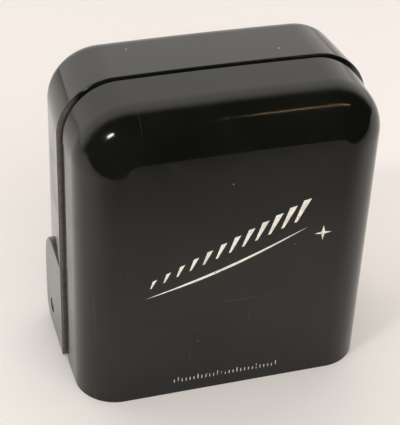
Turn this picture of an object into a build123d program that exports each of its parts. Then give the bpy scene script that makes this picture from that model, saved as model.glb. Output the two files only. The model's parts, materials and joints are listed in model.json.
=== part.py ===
"""Pocket selenium-cell light meter in a moulded clamshell case.

Frame: +X to the right and -Y towards whoever faces the plain cover, +Z up. The shapes are drawn with Y
measured from the seam, where the rear shell's rim ends and the cover begins. They are moved on export, so
that the origin is under the middle of the whole part's depth. All sizes are in millimetres.
"""

from build123d import *
from math import cos, radians, sin, sqrt
import os

# ---- Case ---------------------------------------------------------------------------------------------------
CASE_WIDTH = 58.0
CASE_HEIGHT = 62.0
CORNER_RADIUS = 10.8
CROWN = 0.45               # rise of the arched top above its ends
RIM_ROUND = 0.22           # edge of the cover's rim
REAR_RIM_ROUND = 0.45      # edge of the rear shell's rim and of its cheeks
WALL = 2.0
FLOOR = 2.0
CORE_SKIRT = 14.0          # length a half-case block is drawn below the base before it is cut flat

REAR_DEPTH = 16.4
REAR_DRAFT = 4.4           # degrees
REAR_ROUND = 3.8
BACK_INSIDE = REAR_DEPTH - WALL

COVER_SIDE_STEP = 0.75     # the cover is this much narrower than the rear rim, on each side
COVER_TOP_STEP = 0.4
COVER_DEPTH = 15.2
COVER_DRAFT = 1.2
COVER_ROUND = 7.8
SEAM_GAP = 0.15
COVER_WIDTH = CASE_WIDTH - 2 * COVER_SIDE_STEP
COVER_HEIGHT = CASE_HEIGHT - COVER_TOP_STEP
COVER_FACE = -(SEAM_GAP + COVER_DEPTH)
COVER_INSIDE = COVER_FACE + WALL

# ---- Engraving on the cover ---------------------------------------------------------------------------------
ENGRAVE_DEPTH = 0.12
STROKES = 12               # slanted strokes that grow from left to right over a rising sweep
STROKE_START = (-15.6, 26.6)
STROKE_STEP = (2.42, 0.93)
STROKE_LEAN = 0.42
SWEEP = (-17.0, 24.3, 13.8, 35.6)          # x and z of the two tips of the line under the strokes
SWEEP_THICK = 0.62
SPARK = (16.6, 33.6, 1.7, 0.42)            # x, z, outer and inner radius of the small four-pointed star
RULE_START, RULE_STEP, RULE_TICKS = (-10.6, 2.6), 0.78, 27

# ---- Hinge --------------------------------------------------------------------------------------------------
HINGE_Y = 9.4
HINGE_Z = 5.3
HINGE_PIN_RADIUS = 0.95
CHEEK_HEIGHT = 21.8
CHEEK_REAR = 15.3
CHEEK_OUTER = 29.0
SWING_RADIUS = 9.2         # the rear rim is cut back to this radius round the hinge, under its axis
CHEEK_SWING_RADIUS = 10.4  # the same for the cheeks, which the cover's set-back side rims pass
ARM_OUTER = 25.8
ARM_THICK = 1.1
ARM_INNER = ARM_OUTER - ARM_THICK
ARM_SLOT = (24.4, 26.05, 14.3)   # inner x, outer x and length of each floor slot
ARM_SCREWS = ((-2.9, 12.6), (-6.2, 5.8))   # (y, z) on each arm
ARM_PAD_RADIUS = 1.9

# ---- Cell deck and hood -------------------------------------------------------------------------------------
DECK_FRONT = -1.0
DECK_REAR = 1.4
DECK_CLEAR = 0.4
HOOD_FRONT = -11.4
HOOD_WIDTH = 41.0
HOOD_HEIGHT = 38.0
HOOD_WALL = 1.5
HOOD_Z = 31.0              # height of the middle of the hood, grid and cell
POCKET_WIDTH = 40.0
POCKET_HEIGHT = 37.0
LIP_REAR = -0.4
GLASS_THICK = 0.6
FRAME_THICK = 0.2
CELL_THICK = 0.6
INSULATOR_THICK = 0.4
RETAINER_THICK = 0.4
GRID_DEPTH = 5.0
GRID_PITCH = 3.9
GRID_WEB = 0.5
BEZEL_THICK = 0.5
DECK_POSTS = ((-21.5, 7.5), (21.5, 7.5), (-22.3, 53.8), (22.3, 53.8))
POST_RADIUS = 2.4

# ---- Movement -----------------------------------------------------------------------------------------------
AXIS_Z = 27.0              # height of the pointer's axis, which runs along Y
PLATE_FRONT, PLATE_REAR = 2.6, 3.4
POLE_REAR = 9.4
MAGNET_FRONT = 4.2
MAGNET_OUTER, MAGNET_INNER = 14.5, 9.5
MAGNET_MOUTH = 33.0        # degrees each side of the vertical left open at the top
POLE_BORE = 5.45
POLE_SPAN = 52.0           # degrees each side of the horizontal
CORE_RADIUS = 4.0
CORE_FRONT, CORE_REAR = 5.0, 9.0
COIL_INNER = 4.3
COIL_FRONT, COIL_REAR = 4.7, 9.3
FORMER_THICK = 0.25
WINDING_THICK = 0.4
COIL_WIDTH = 2.4
PLATE_POSTS = ((-17.5, AXIS_Z), (17.5, AXIS_Z))
PILLAR_X = 7.4
BRIDGE_FRONT, BRIDGE_REAR = 12.0, 12.7
SCALE_FRONT, SCALE_REAR = 9.6, 10.0
POINTER_FRONT, POINTER_REAR = 10.35, 10.6
POINTER_LENGTH = 22.5
POINTER_REST = 42.0        # degrees from upright, towards +X
ZERO_LEVER = (11.6, 11.9)
ZERO_Z = 35.0
ZERO_THROW = 0.6

# ---- Scale side ---------------------------------------------------------------------------------------------
WINDOW_WIDTH, WINDOW_HEIGHT, WINDOW_Z = 35.0, 15.0, 46.0
WINDOW_GLASS_THICK = 1.0
DIAL_Z = 18.5
DIAL_RECESS_RADIUS = 14.3
DIAL_RECESS_FLOOR = 15.2
DIAL_RADIUS = 14.0
DIAL_FRONT, DIAL_REAR = 15.45, 16.3
KNOB_RADIUS = 7.0
KNOB_REAR = 17.8
KNOB_FLUTES = 30
RIVET_RADIUS = 1.5

SIDES = (-1, 1)
MIDDLE_Y = (KNOB_REAR + COVER_FACE) / 2   # the origin's distance behind the seam


# ---- Shape helpers ------------------------------------------------------------------------------------------
def rod(radius, x, z, y_from, y_to):
    """Cylinder along Y."""
    length = y_to - y_from
    return Pos(x, (y_from + y_to) / 2, z) * Rot(90, 0, 0) * Cylinder(radius, length)


def side_rod(radius, y, z, x_from, x_to):
    """Cylinder along X."""
    return Pos((x_from + x_to) / 2, y, z) * Rot(0, 90, 0) * Cylinder(radius, abs(x_to - x_from))


def block(x_from, x_to, y_from, y_to, z_from, z_to):
    """Box between two corners."""
    middle = Pos((x_from + x_to) / 2, (y_from + y_to) / 2, (z_from + z_to) / 2)
    return middle * Box(abs(x_to - x_from), abs(y_to - y_from), abs(z_to - z_from))


def facing_back(y, z=0.0):
    """Plane across Y whose extrusions run towards +Y. Its local y is up, and its local x is -X."""
    return Plane(origin=(0, y, z), x_dir=(-1, 0, 0), z_dir=(0, 1, 0))


def facing_front(y, z=0.0):
    """Plane across Y whose extrusions run towards -Y. Its local y is up, and its local x is +X."""
    return Plane(origin=(0, y, z), x_dir=(1, 0, 0), z_dir=(0, -1, 0))


def slab(profile, y_from, y_to, z=0.0):
    """A sketch in X and Z, thickened from y_from to y_to."""
    return extrude(facing_back(y_from, z) * profile, amount=y_to - y_from)


def slotted_screw(head_radius, head, shank_radius, shank, slot=0.35):
    """Screw along local +Z: shank below z = 0, cheese head above it with a slot across it."""
    screw = Pos(0, 0, head / 2) * Cylinder(head_radius, head)
    screw = chamfer(screw.edges().sort_by(Axis.Z)[-1], min(0.2, head / 4))
    screw += Pos(0, 0, -shank / 2) * Cylinder(shank_radius, shank)
    return screw - Pos(0, 0, head) * Box(3 * head_radius, slot, head * 0.9)


def towards_front(shape, x, y, z, turn=0.0):
    """Places a shape drawn along local +Z so that it points to -Y."""
    return Pos(x, y, z) * Rot(90, 0, 0) * Rot(0, 0, turn) * shape


def towards_back(shape, x, y, z, turn=0.0):
    """Places a shape drawn along local +Z so that it points to +Y."""
    return Pos(x, y, z) * Rot(-90, 0, 0) * Rot(0, 0, turn) * shape


def case_block(width, top, corner, y_start, depth, draft, rounding, floor, back, rim=0.0):
    """Half of the case as a solid: flat base, arched top, rounded upper corners, drafted walls, rounded edges."""
    half = width / 2
    sides = Polyline((-half, top - CROWN), (-half, -CORE_SKIRT), (half, -CORE_SKIRT), (half, top - CROWN))
    arch = ThreePointArc((-half, top - CROWN), (0, top), (half, top - CROWN))
    profile = make_face([sides, arch])
    profile = fillet(profile.vertices().sort_by(Axis.Y)[-2:], corner)
    plane = facing_back(y_start) if back else facing_front(y_start)
    solid = extrude(plane * profile, amount=depth, taper=draft)
    far_face = solid.faces().sort_by(Axis.Y)[-1 if back else 0]
    solid = fillet(far_face.edges(), rounding)
    if rim:
        near_face = solid.faces().sort_by(Axis.Y)[0 if back else -1]
        solid = fillet(near_face.edges(), rim)
    return solid - block(-width, width, -60, 60, floor - 2 * CORE_SKIRT, floor)


# ---- Rear shell ---------------------------------------------------------------------------------------------
def cheek(side):
    """Undrafted pad with rounded rear corners over the lower part of a side wall, round the hinge."""
    outline = make_face(Polyline((0, 0), (CHEEK_REAR, 0), (CHEEK_REAR, CHEEK_HEIGHT), (0, CHEEK_HEIGHT), close=True))
    outline = fillet(outline.vertices().sort_by(Axis.X)[-2:].sort_by(Axis.Y)[0], 4.5)
    outline = fillet(outline.vertices().sort_by(Axis.Y)[-2:].sort_by(Axis.X)[-1], 7.5)
    pad = extrude(Plane.YZ.offset(25.0) * outline, amount=CHEEK_OUTER - 25.0)
    outer_face = pad.faces().sort_by(Axis.X)[-1]
    edges = [edge for edge in outer_face.edges() if edge.center().Z > 0.1]
    pad = fillet(edges, REAR_RIM_ROUND)
    return pad if side > 0 else mirror(pad, about=Plane.YZ)


def window_cut():
    """The window's opening with a bevelled mouth, and the rabbet for its glass."""
    opening = fillet(Rectangle(WINDOW_WIDTH, WINDOW_HEIGHT).vertices(), 2.5)
    mouth = fillet(Rectangle(WINDOW_WIDTH + 2.2, WINDOW_HEIGHT + 2.2).vertices(), 3.4)
    rabbet = fillet(Rectangle(WINDOW_WIDTH + 3.4, WINDOW_HEIGHT + 2.6).vertices(), 1.0)
    cut = slab(opening, BACK_INSIDE - 1, REAR_DEPTH + 1, WINDOW_Z)
    cut += extrude(facing_front(REAR_DEPTH, WINDOW_Z) * mouth, amount=1.0, taper=45)
    return cut + slab(rabbet, BACK_INSIDE - 0.5, BACK_INSIDE + WINDOW_GLASS_THICK, WINDOW_Z)


def rear_shell():
    shell = case_block(CASE_WIDTH, CASE_HEIGHT, CORNER_RADIUS, 0, REAR_DEPTH, REAR_DRAFT, REAR_ROUND, 0, True,
                       REAR_RIM_ROUND)
    for side in SIDES:
        shell += cheek(side)
    shell -= case_block(CASE_WIDTH - 2 * WALL - 0.2, CASE_HEIGHT - WALL, CORNER_RADIUS - WALL, 0,
                        REAR_DEPTH - WALL, REAR_DRAFT, 1.2, FLOOR, True)
    # Posts for the deck, the movement and the resistor, and the thicker wall behind the dial.
    for x, z in DECK_POSTS:
        shell += rod(POST_RADIUS, x, z, DECK_REAR, BACK_INSIDE + 0.5)
    for x, z in PLATE_POSTS:
        shell += rod(2.2, x, z, PLATE_REAR + TAG_THICK, BACK_INSIDE + 0.5)
    shell += rod(1.8, *RESISTOR_XZ, RESISTOR_REAR, BACK_INSIDE + 0.5)
    shell += rod(15.6, 0, DIAL_Z, BACK_INSIDE - 1.0, BACK_INSIDE + 0.5)
    for side in SIDES:
        shell += side_rod(2.6, HINGE_Y, HINGE_Z, side * 26.05, side * 27.5)
    # Holes for screws, spindles and pins.
    for x, z in DECK_POSTS:
        shell -= rod(0.85, x, z, 0, 10)
    for x, z in PLATE_POSTS:
        shell -= rod(0.7, x, z, 3, 9)
    shell -= rod(0.7, *RESISTOR_XZ, 5, 14)
    shell -= rod(1.2, 0, ZERO_Z, 10, 20) + rod(1.6, 0, ZERO_Z, 15.6, 20)
    shell -= rod(RIVET_RADIUS, 0, DIAL_Z, 10, 20)
    shell -= rod(DIAL_RECESS_RADIUS, 0, DIAL_Z, DIAL_RECESS_FLOOR, 20)
    shell -= window_cut()
    slot_inner, slot_outer, slot_end = ARM_SLOT
    for side in SIDES:
        shell -= side_rod(HINGE_PIN_RADIUS + 0.02, HINGE_Y, HINGE_Z, side * 24, side * 30)
        shell -= side_rod(1.5, HINGE_Y, HINGE_Z, side * 28.35, side * 30)
        shell -= block(side * slot_inner, side * slot_outer, -1, slot_end, -1, FLOOR + 0.1)
        shell -= block(side * slot_inner, side * slot_outer, 0.5, 13.4, FLOOR, 9.0)
    # The cover's lower edge swings past here.
    swept = block(-slot_outer, slot_outer, -1, 4, -1, HINGE_Z)
    shell -= swept - side_rod(SWING_RADIUS, HINGE_Y, HINGE_Z, -33, 33)
    for side in SIDES:
        swept = block(side * slot_outer, side * 32, -1, 4, -1, HINGE_Z)
        shell -= swept - side_rod(CHEEK_SWING_RADIUS, HINGE_Y, HINGE_Z, -33, 33)
    return shell


# ---- Cover --------------------------------------------------------------------------------------------------
def cover_cavity(gap=0.0, y_start=-SEAM_GAP, depth=COVER_DEPTH - WALL, draft=COVER_DRAFT, rounding=5.8):
    """The inside of the cover, or with a gap the outline of what fits inside it."""
    return case_block(COVER_WIDTH - 2 * (WALL + gap), COVER_HEIGHT - WALL - gap, CORNER_RADIUS - WALL - gap,
                      y_start, depth, draft, rounding, FLOOR + gap, False)


def engraved_outlines():
    """Outlines, as points in x and z, of the strokes, the sweep, the spark and the fine rule."""
    outlines = []
    for number in range(STROKES):
        x = STROKE_START[0] + number * STROKE_STEP[0]
        z = STROKE_START[1] + number * STROKE_STEP[1]
        rise = 1.7 + 0.27 * number
        lean = STROKE_LEAN * rise
        foot, head = 0.16 + 0.012 * number, 0.42 + 0.03 * number
        outlines.append([(x - foot, z), (x + foot, z + 0.12), (x + lean + head, z + rise + 0.3),
                         (x + lean - head, z + rise)])
    x0, z0, x1, z1 = SWEEP
    upper, lower = [], []
    for number in range(17):
        share = number / 16
        x = x0 + (x1 - x0) * share
        z = z0 + (z1 - z0) * share - 1.1 * sin(radians(180 * share))
        half = SWEEP_THICK / 2 * sin(radians(180 * share)) ** 0.8
        if 0 < number < 16:
            upper.append((x, z + half))
            lower.append((x, z - half))
    outlines.append([(x0, z0)] + upper + [(x1, z1)] + lower[::-1])
    x, z, outer, inner = SPARK
    star = []
    for number in range(8):
        reach = inner if number % 2 else outer
        star.append((x + reach * cos(radians(45 * number)), z + reach * sin(radians(45 * number))))
    outlines.append(star)
    for number in range(RULE_TICKS):
        x = RULE_START[0] + number * RULE_STEP
        z = RULE_START[1]
        rise = 1.25 if number % 5 == 1 else 0.8
        outlines.append([(x - 0.1, z), (x + 0.1, z), (x + 0.1, z + rise), (x - 0.1, z + rise)])
    return outlines


def front_cover():
    cover = case_block(COVER_WIDTH, COVER_HEIGHT, CORNER_RADIUS - 0.4, -SEAM_GAP, COVER_DEPTH, COVER_DRAFT,
                       COVER_ROUND, 0, False, RIM_ROUND)
    cover -= cover_cavity()
    # The rib inside the top wall that the catch spring's nose clicks behind, and the pads for the arms.
    cover += block(-CATCH_WIDTH / 2, CATCH_WIDTH / 2, -3.2, -2.2, CATCH_RIB_Z, COVER_HEIGHT - WALL + 0.3)
    for side in SIDES:
        for y, z in ARM_SCREWS:
            cover += side_rod(ARM_PAD_RADIUS, y, z, side * ARM_OUTER, side * 26.6)
    # The side rims are set back beside the hinge cheeks.
    relief = Polyline((0.5, -1), (-1.4, -1), (-1.4, 20.5), (-0.2, 25.0), (0.5, 25.0), close=True)
    for side in SIDES:
        wall_side = Plane.YZ.offset(side * 25.9)
        cover -= extrude(wall_side * make_face(relief), amount=side * 6)
        for y, z in ARM_SCREWS:
            cover -= side_rod(0.7, y, z, side * 25, side * 27.2)
    for x, z in CARD_PINS:
        cover -= rod(0.5, x, z, COVER_INSIDE - 1.0, COVER_INSIDE + 1)
    # The engraving, which is filled with enamel.
    engraving = Sketch() + [make_face(Polyline(*outline, close=True)) for outline in engraved_outlines()]
    return cover - extrude(facing_front(COVER_FACE + ENGRAVE_DEPTH) * engraving, amount=1)


def hinge_arm(side):
    """Flat arm from the cover's side wall to the hinge screw."""
    plate = Polyline((HINGE_Y, HINGE_Z + 3.0), (-1.2, 15.6), (-4.6, 15.6), (-8.4, 9.6), (-8.4, 3.2),
                     (-1.0, 3.2), (HINGE_Y, HINGE_Z - 3.0), close=True)
    profile = make_face(plate)
    profile = fillet([v for v in profile.vertices() if v.X < HINGE_Y - 1], 1.5)
    profile += Pos(HINGE_Y, HINGE_Z) * Circle(3.0)
    profile -= Pos(HINGE_Y, HINGE_Z) * Circle(HINGE_PIN_RADIUS + 0.05)
    for y, z in ARM_SCREWS:
        profile -= Pos(y, z) * Circle(0.75)
    inner = min(side * ARM_INNER, side * ARM_OUTER)
    return extrude(Plane.YZ.offset(inner) * profile, amount=ARM_THICK)


def arm_screws():
    """Two screws through each arm into the cover's side wall, heads inwards."""
    screws = []
    for side in SIDES:
        for y, z in ARM_SCREWS:
            screw = slotted_screw(1.35, 0.6, 0.68, 2.4)
            screws.append(Pos(side * ARM_INNER, y, z) * Rot(0, -90 * side, 0) * screw)
    return Compound(screws)


CARD_PINS = ((-18.0, 8.0), (18.0, 8.0), (-18.0, 50.0), (18.0, 50.0))


def exposure_card():
    """Thin metal table plate inside the cover."""
    card = fillet(Rectangle(40.0, 46.0).vertices(), 2.0)
    plate = slab(card, COVER_INSIDE, COVER_INSIDE + 0.4, 29.0)
    for x, z in CARD_PINS:
        plate -= rod(0.55, x, z, COVER_INSIDE - 1, COVER_INSIDE + 1)
    return plate


def card_pins():
    """Four escutcheon pins that hold the table plate."""
    pins = []
    for x, z in CARD_PINS:
        pin = rod(0.48, x, z, COVER_INSIDE - 0.9, COVER_INSIDE + 0.5)
        dome = Pos(x, COVER_INSIDE + 0.4, z) * Sphere(0.95)
        dome -= block(x - 2, x + 2, COVER_INSIDE - 3, COVER_INSIDE + 0.4, z - 2, z + 2)
        dome -= block(x - 2, x + 2, COVER_INSIDE + 0.85, COVER_INSIDE + 3, z - 2, z + 2)
        pins.append(pin + dome)
    return Compound(pins)


# ---- Cell deck ----------------------------------------------------------------------------------------------
def hood_outline(width, height, corner):
    return fillet(Rectangle(width, height).vertices(), corner)


def cell_deck():
    """Moulded deck that closes the rear shell, with the hood round the cell."""
    tongue = cover_cavity(DECK_CLEAR, 0.2, 0.2 - DECK_FRONT, 0.0, 0.3)
    base = case_block(CASE_WIDTH - 2 * WALL - 0.8, CASE_HEIGHT - WALL - 0.3, CORNER_RADIUS - WALL - 0.3, 0.2,
                      DECK_REAR - 0.2, REAR_DRAFT, 0.2, FLOOR + 0.4, True)
    deck = tongue + base
    for side in SIDES:
        deck -= block(side * 24.3, side * 30, -3, 3, 0, CHEEK_HEIGHT + 0.6)
    deck += slab(hood_outline(HOOD_WIDTH, HOOD_HEIGHT, 3.0), HOOD_FRONT, DECK_FRONT + 0.2, HOOD_Z)
    inner = hood_outline(HOOD_WIDTH - 2 * HOOD_WALL, HOOD_HEIGHT - 2 * HOOD_WALL, 1.6)
    deck -= slab(inner, HOOD_FRONT - 1, DECK_REAR + 1, HOOD_Z)
    deck -= slab(hood_outline(POCKET_WIDTH, POCKET_HEIGHT, 1.5), LIP_REAR, DECK_REAR + 1, HOOD_Z)
    for x, z in DECK_POSTS:
        deck -= rod(1.1, x, z, -3, 3) + rod(2.1, x, z, -3, 0.0)
    for x, z in BEZEL_SCREWS:
        deck += rod(1.5, x, z, HOOD_FRONT, DECK_FRONT)
        deck -= rod(0.5, x, z, HOOD_FRONT - 1, HOOD_FRONT + 4)
    for x, z in RETAINER_SCREWS:
        deck -= rod(0.5, x, z, DECK_REAR - 1.4, DECK_REAR + 1)
    deck -= block(-CATCH_WIDTH / 2, CATCH_WIDTH / 2, -3, DECK_FRONT + 0.3, 52.5, 70)
    return deck - rod(0.6, 0, 54.5, -3, 0.5)


def deck_screws():
    """Screws through the deck into the rear shell's posts."""
    screws = []
    for turn, (x, z) in zip((20, 75, 130, 50), DECK_POSTS):
        screws.append(towards_front(slotted_screw(1.9, 0.9, 0.83, 7.0, 0.45), x, 0.0, z, turn))
    return Compound(screws)


GRID_Y = HOOD_FRONT + 0.1
BEZEL_SCREWS = ((-17.7, HOOD_Z - 16.2), (17.7, HOOD_Z - 16.2), (-17.7, HOOD_Z + 16.2), (17.7, HOOD_Z + 16.2))
RETAINER_SCREWS = ((-21.6, 20.0), (21.6, 20.0), (-21.6, 42.0), (21.6, 42.0))
CATCH_WIDTH = 7.0
CATCH_RIB_Z = 59.0


def hex_centres(width, height, pitch):
    """Centres of the whole hexagonal cells that fit in a rectangle."""
    centres = []
    row_step = pitch * sqrt(3) / 2
    rows = int((height / 2 - pitch / sqrt(3)) / row_step)
    for row in range(-rows, rows + 1):
        shift = pitch / 2 if row % 2 else 0.0
        columns = int((width / 2 - pitch / 2 - shift) / pitch)
        for column in range(-columns - (1 if shift else 0), columns + 1):
            centres.append((column * pitch + shift, row * row_step))
    return centres


def light_grid():
    """Honeycomb that narrows the cell's angle of view."""
    width, height = HOOD_WIDTH - 2 * HOOD_WALL - 0.2, HOOD_HEIGHT - 2 * HOOD_WALL - 0.2
    plate = hood_outline(width, height, 1.5)
    for x, z in BEZEL_SCREWS:
        plate -= Pos(x, z - HOOD_Z) * Circle(1.6)
    cell_radius = (GRID_PITCH - GRID_WEB) / sqrt(3)
    clear = cell_radius + 2.1
    cells = [
        Pos(x, z) * Rot(0, 0, 30) * RegularPolygon(cell_radius, 6)
        for x, z in hex_centres(width - 0.8, height - 0.8, GRID_PITCH)
        if min(sqrt((x - a) ** 2 + (z - b + HOOD_Z) ** 2) for a, b in BEZEL_SCREWS) > clear
    ]
    plate -= Sketch() + cells
    return slab(plate, GRID_Y, GRID_Y + GRID_DEPTH, HOOD_Z)


def grid_bezel():
    """Plated frame over the hood's front edge."""
    frame = hood_outline(HOOD_WIDTH, HOOD_HEIGHT, 3.0) - hood_outline(HOOD_WIDTH - 5.0, HOOD_HEIGHT - 5.0, 1.4)
    for x, z in BEZEL_SCREWS:
        frame += Pos(x, z - HOOD_Z) * Circle(2.0)
    bezel = slab(frame, HOOD_FRONT - BEZEL_THICK, HOOD_FRONT, HOOD_Z)
    for x, z in BEZEL_SCREWS:
        bezel -= rod(0.6, x, z, HOOD_FRONT - 2, HOOD_FRONT + 1)
    return bezel


def bezel_screws():
    screws = []
    for turn, (x, z) in zip((10, 60, 115, 160), BEZEL_SCREWS):
        screws.append(towards_front(slotted_screw(1.1, 0.5, 0.48, 3.5, 0.3), x, HOOD_FRONT - BEZEL_THICK, z, turn))
    return Compound(screws)


def pocket_plate(y_from, y_to, inset=0.15, hole=None):
    """A plate that fits the deck's pocket, with an opening if hole gives its width and height."""
    plate = hood_outline(POCKET_WIDTH - 2 * inset, POCKET_HEIGHT - 2 * inset, 1.2)
    if hole:
        plate -= hood_outline(*hole, 1.0)
    return slab(plate, y_from, y_to, HOOD_Z)


GLASS_REAR = LIP_REAR + GLASS_THICK
FRAME_REAR = GLASS_REAR + FRAME_THICK
CELL_REAR = FRAME_REAR + CELL_THICK


def cell_glass():
    return pocket_plate(LIP_REAR, GLASS_REAR)


def contact_frame():
    """Brass frame that takes current from the cell's sputtered front."""
    return pocket_plate(GLASS_REAR, FRAME_REAR, 0.3, (35.5, 32.5))


def selenium_cell():
    return pocket_plate(FRAME_REAR, CELL_REAR, 0.4)


def cell_insulator():
    return pocket_plate(CELL_REAR, DECK_REAR, 0.3, (10.0, 10.0))


def cell_retainer():
    """Plate screwed to the deck's rear that holds the cell stack, with a contact tongue in its middle."""
    plate = hood_outline(46.0, 36.0, 2.0)
    for x, z in RETAINER_SCREWS:
        plate -= Pos(x, z - HOOD_Z) * Circle(0.6)
    plate -= Pos(0, AXIS_Z - HOOD_Z) * Circle(2.0)
    return slab(plate, DECK_REAR, DECK_REAR + RETAINER_THICK, HOOD_Z)


def retainer_screws():
    screws = []
    for turn, (x, z) in zip((30, 80, 140, 5), RETAINER_SCREWS):
        screws.append(towards_back(slotted_screw(1.1, 0.5, 0.48, 1.6, 0.3), x, DECK_REAR + RETAINER_THICK, z, turn))
    return Compound(screws)


def catch_spring():
    """Spring strip on the deck whose nose holds the cover's top shut."""
    strip = block(-CATCH_WIDTH / 2 + 0.2, CATCH_WIDTH / 2 - 0.2, DECK_FRONT - 0.05, DECK_FRONT + 0.25, 52.7, 58.3)
    nose = Pos(0, DECK_FRONT - 0.18, 58.4) * Rot(0, 90, 0) * Cylinder(0.45, CATCH_WIDTH - 1.4)
    return strip + nose - rod(0.6, 0, 54.5, -3, 0.5)


def catch_rivet():
    """Rivet through the catch spring into the deck."""
    rivet = rod(0.58, 0, 54.5, DECK_FRONT - 0.1, 0.45)
    head = rod(1.3, 0, 54.5, DECK_FRONT - 0.5, DECK_FRONT - 0.05)
    return rivet + chamfer(head.edges().sort_by(Axis.Y)[0], 0.2)


# ---- Movement -----------------------------------------------------------------------------------------------
def ring_sector(outer, inner, middle_degrees, half_degrees):
    """Sector of a ring round the pointer's axis, as a sketch whose angles run from local x."""
    ring = Circle(outer) - Circle(inner)
    reach = outer * 2
    low, high = radians(middle_degrees - half_degrees), radians(middle_degrees + half_degrees)
    middle = radians(middle_degrees)
    wedge = Polyline((0, 0), (reach * cos(low), reach * sin(low)), (reach * cos(middle), reach * sin(middle)),
                     (reach * cos(high), reach * sin(high)), close=True)
    return ring & make_face(wedge)


def magnet():
    """C-shaped magnet, open at the top."""
    mouth = radians(MAGNET_MOUTH)
    reach = 2 * MAGNET_OUTER
    wedge = make_face(Polyline((0, 0), (reach * sin(mouth), reach * cos(mouth)),
                               (-reach * sin(mouth), reach * cos(mouth)), close=True))
    ring = Circle(MAGNET_OUTER) - Circle(MAGNET_INNER) - wedge
    for x in MAGNET_SCREWS_X:
        ring -= Pos(x, SCALE_SCREW_Z - AXIS_Z) * Circle(0.5)
    return slab(ring, MAGNET_FRONT, POLE_REAR, AXIS_Z)


MAGNET_SCREWS_X = (-11.0, 11.0)
SCALE_SCREW_Z = 21.5


def pole_pieces():
    poles = []
    for middle in (0, 180):
        pole = slab(ring_sector(MAGNET_INNER - 0.02, POLE_BORE, middle, POLE_SPAN), PLATE_REAR, POLE_REAR, AXIS_Z)
        side = -1 if middle == 0 else 1
        poles.append(pole - rod(0.55, side * PILLAR_X, AXIS_Z, PLATE_REAR - 1, POLE_REAR + 1))
    return Compound(poles)


def iron_core():
    return rod(CORE_RADIUS, 0, AXIS_Z, CORE_FRONT, CORE_REAR)


def core_bracket():
    """Brass post from the magnet's bottom to the core, clear of the coil's travel."""
    post = block(-1.4, 1.4, 5.8, 8.2, AXIS_Z - MAGNET_INNER, AXIS_Z - CORE_RADIUS + 0.5)
    post -= rod(CORE_RADIUS, 0, AXIS_Z, 4, 10)
    return post & rod(MAGNET_INNER - 0.02, 0, AXIS_Z, 4, 10)


def movement_plate():
    """Brass plate that carries the movement on the shell's two posts."""
    plate = fillet(Rectangle(40.0, 9.0).vertices(), 3.0) + Circle(9.0)
    for x, z in PLATE_POSTS:
        plate -= Pos(x, 0) * Circle(0.9)
    for side in SIDES:
        plate -= Pos(side * PILLAR_X, 0) * Circle(0.55)
    plate -= Circle(0.82)
    # The front hairspring's outer end is held by a stud.
    return slab(plate, PLATE_FRONT, PLATE_REAR, AXIS_Z) + rod(0.25, -STUD_RADIUS, AXIS_Z, PLATE_REAR - 0.1, 3.75)


def movement_screws():
    screws = []
    for turn, (x, z) in zip((40, 100), PLATE_POSTS):
        screws.append(towards_front(slotted_screw(1.5, 0.6, 0.68, 5.0, 0.35), x, PLATE_FRONT, z, turn))
    return Compound(screws)


def bridge_pillars():
    pillars = [rod(1.2, side * PILLAR_X, AXIS_Z, POLE_REAR, BRIDGE_FRONT)
               - rod(0.55, side * PILLAR_X, AXIS_Z, 8, 13) for side in SIDES]
    return Compound(pillars)


def rear_bridge():
    """Brass bar that carries the rear jewel."""
    bar = fillet(Rectangle(19.0, 4.0).vertices(), 1.8) + Circle(2.6) - Circle(0.82)
    for side in SIDES:
        bar -= Pos(side * PILLAR_X, 0) * Circle(0.6)
    return slab(bar, BRIDGE_FRONT, BRIDGE_REAR, AXIS_Z)


def bridge_screws():
    """Long screws through the bridge, its pillars and the pole pieces into the movement plate."""
    screws = []
    for turn, side in zip((25, 110), SIDES):
        screw = slotted_screw(1.2, 0.5, 0.5, BRIDGE_REAR - PLATE_FRONT, 0.3)
        screws.append(towards_back(screw, side * PILLAR_X, BRIDGE_REAR, AXIS_Z, turn))
    return Compound(screws)


def jewel_screw(head, shank):
    """Slotted bearing screw with a cup in its end for the pivot, along local +Z."""
    screw = slotted_screw(1.3, head, 0.8, shank, 0.3)
    return screw - Pos(0, 0, -shank) * Cone(0.35, 0.12, 0.5, align=(Align.CENTER, Align.CENTER, Align.MIN))


def front_jewel_screw():
    return towards_front(jewel_screw(0.45, 0.7), 0, PLATE_FRONT, AXIS_Z, 35)


def rear_jewel_screw():
    return towards_back(jewel_screw(0.4, 1.4), 0, BRIDGE_REAR, AXIS_Z, 70)


def scale_plate():
    """Printed scale under the pointer, screwed to the magnet."""
    upper = Pos(0, 44.4 - AXIS_Z) * Rectangle(38.4, 22.8)
    lower = Pos(0, 25.0 - AXIS_Z) * Rectangle(29.2, 17.0)
    plate = upper + lower - Circle(7.6)
    for side in SIDES:
        plate -= Pos(side * PILLAR_X, 0) * Circle(1.4)
    for x in MAGNET_SCREWS_X:
        plate -= Pos(x, SCALE_SCREW_Z - AXIS_Z) * Circle(0.6)
    return slab(plate, SCALE_FRONT, SCALE_REAR, AXIS_Z)


def scale_screws():
    screws = []
    for turn, x in zip((15, 95), MAGNET_SCREWS_X):
        screws.append(towards_back(slotted_screw(1.1, 0.3, 0.48, 3.4, 0.25), x, SCALE_REAR, SCALE_SCREW_Z, turn))
    return Compound(screws)


STUD_RADIUS = 2.48         # distance of the hairsprings' outer ends from the axis


# ---- Rotor: drawn with the pointer upright, then turned to its zero mark -------------------------------------
def at_zero(shape):
    """Turns a rotor piece from upright to the pointer's rest angle."""
    return Pos(0, 0, AXIS_Z) * Rot(0, POINTER_REST, 0) * Pos(0, 0, -AXIS_Z) * shape


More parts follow.
